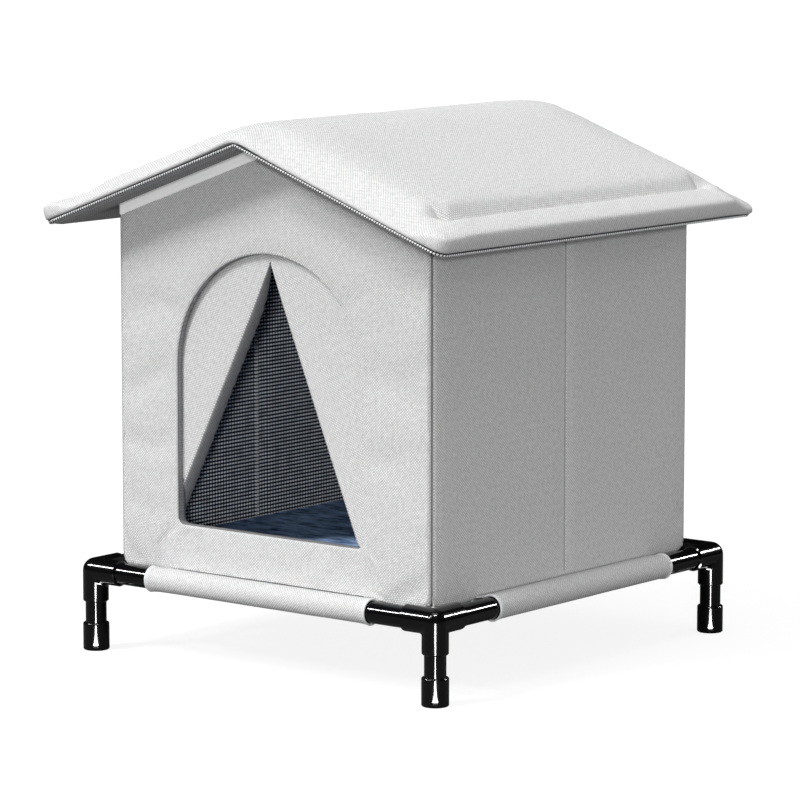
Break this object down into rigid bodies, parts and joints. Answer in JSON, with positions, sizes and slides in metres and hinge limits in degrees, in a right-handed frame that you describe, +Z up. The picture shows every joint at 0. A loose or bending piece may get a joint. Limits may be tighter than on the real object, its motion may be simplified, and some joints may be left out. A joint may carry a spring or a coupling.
{
  "type": "cat house",
  "caption": "Padded fabric cat house with a pitched overhanging roof and a tent-flap arched door, standing on a low cot of black pipe.",
  "frame": {"origin": "on the ground under the middle of the roof", "axes": "+Z up, the door faces -Y, +X is the right side seen from the door"},
  "size_m": [0.5134, 0.5246, 0.54],
  "materials": {
    "outer_fabric": "light grey woven fabric over thin wadding",
    "binding_tape": "white binding tape",
    "liner_fabric": "dark navy liner with rows of small light stitches",
    "floor_fabric": "dark grey backing cloth",
    "roof_lining": "dark grey lining cloth",
    "foam_board": "light foam board, hidden in the walls",
    "mat_plush": "blue grey short plush",
    "pipe_coat": "gloss black pipe",
    "fitting_plastic": "gloss black moulded plastic",
    "edge_piping": "bright beaded edge piping"
  },
  "bodies": {
    "cot": {"corner_fitting_front_left": "fitting_plastic", "corner_fitting_front_right": "fitting_plastic", "corner_fitting_rear_left": "fitting_plastic", "corner_fitting_rear_right": "fitting_plastic", "leg_front_left": "pipe_coat", "leg_front_right": "pipe_coat", "leg_rear_left": "pipe_coat", "leg_rear_right": "pipe_coat", "foot_front_left": "fitting_plastic", "foot_front_right": "fitting_plastic", "foot_rear_left": "fitting_plastic", "foot_rear_right": "fitting_plastic", "rail_front": "pipe_coat", "rail_rear": "pipe_coat", "rail_left": "pipe_coat", "rail_right": "pipe_coat", "cot_sheet": "outer_fabric"},
    "house": {"front_cover": "outer_fabric", "front_board": "foam_board", "front_liner": "liner_fabric", "rear_cover": "outer_fabric", "rear_board": "foam_board", "rear_liner": "liner_fabric", "left_cover": "outer_fabric", "left_board_front": "foam_board", "left_board_rear": "foam_board", "left_liner": "liner_fabric", "right_cover": "outer_fabric", "right_board_front": "foam_board", "right_board_rear": "foam_board", "right_liner": "liner_fabric", "floor_cover": "floor_fabric", "floor_board": "foam_board", "floor_liner": "liner_fabric", "gable_binding_front": "binding_tape", "gable_binding_rear": "binding_tape", "curtain_panel_left": "outer_fabric", "curtain_panel_right": "outer_fabric"},
    "mat": {"floor_mat": "mat_plush"},
    "flap_left": {"curtain_flap_left": "outer_fabric"},
    "flap_right": {"curtain_flap_right": "outer_fabric"},
    "roof_left": {"roof_pad_left": "outer_fabric", "roof_board_left": "foam_board", "roof_lining_left": "roof_lining", "roof_piping_left": "edge_piping"},
    "roof_right": {"roof_pad_right": "outer_fabric", "roof_board_right": "foam_board", "roof_lining_right": "roof_lining", "roof_piping_right": "edge_piping"}
  },
  "joints": [
    {"name": "house_lift", "type": "slide", "parent": "cot", "child": "house", "axis": [0, 0, 1], "range_m": [0, 0.15]},
    {"name": "roof_lift", "type": "slide", "parent": "house", "child": "roof_left", "axis": [0, 0, 1], "range_m": [0, 0.3]},
    {"name": "roof_fold", "type": "hinge", "parent": "roof_left", "child": "roof_right", "pos_m": [0, 0, 0.54], "axis": [0, -1, 0], "range_deg": [0, 190]},
    {"name": "mat_lift", "type": "slide", "parent": "house", "child": "mat", "axis": [0, 0, 1], "range_m": [0, 0.2]},
    {"name": "flap_left_fold", "type": "hinge", "parent": "house", "child": "flap_left", "pos_m": [-0.111, -0.18675, 0.138], "axis": [-0.3708, 0.0075, -0.9287], "range_deg": [0, 180]},
    {"name": "flap_right_fold", "type": "hinge", "parent": "house", "child": "flap_right", "pos_m": [0.103, -0.18675, 0.138], "axis": [-0.3708, -0.0075, 0.9287], "range_deg": [0, 180]}
  ]
}
